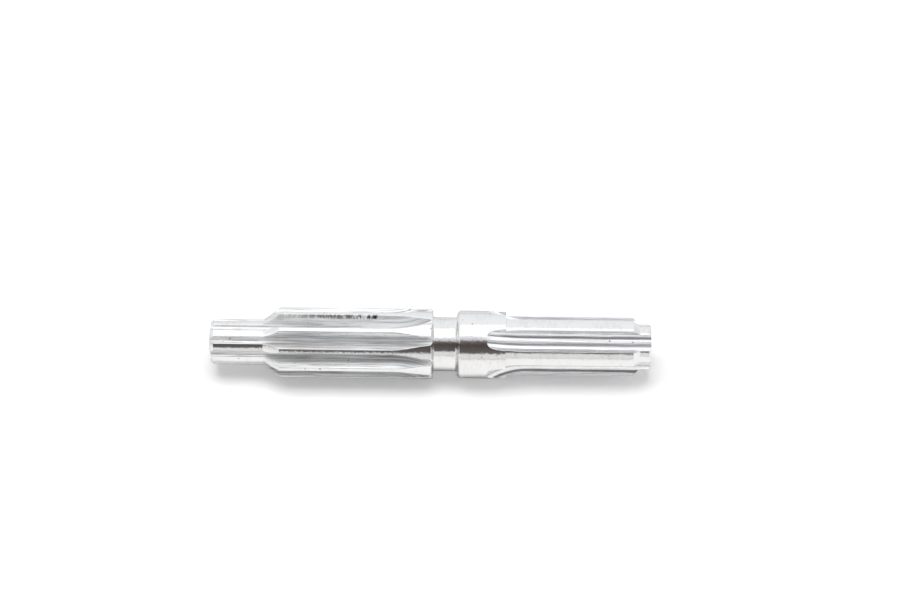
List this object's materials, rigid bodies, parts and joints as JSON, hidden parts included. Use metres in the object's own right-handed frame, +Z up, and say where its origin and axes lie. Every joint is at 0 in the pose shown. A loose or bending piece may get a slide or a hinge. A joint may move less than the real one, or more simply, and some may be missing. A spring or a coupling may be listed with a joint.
{
  "type": "axle shaft",
  "caption": "Plated steel axle shaft: a fluted stub and hobbed pinion teeth, a plain neck and collar, and a coarse spline that ends in a short pilot.",
  "frame": {"origin": "on the shaft's axis at mid-length", "axes": "+X along the shaft from the stub towards the pilot, +Z up as it rests on two pinion teeth, +Y to the back"},
  "size_m": [0.0794, 0.0126, 0.0126],
  "materials": {
    "plated_steel": "bright zinc or nickel plating over turned and hobbed steel, mirror-like with fine tool lines"
  },
  "bodies": {
    "root": {"axle_shaft": "plated_steel"}
  },
  "joints": []
}
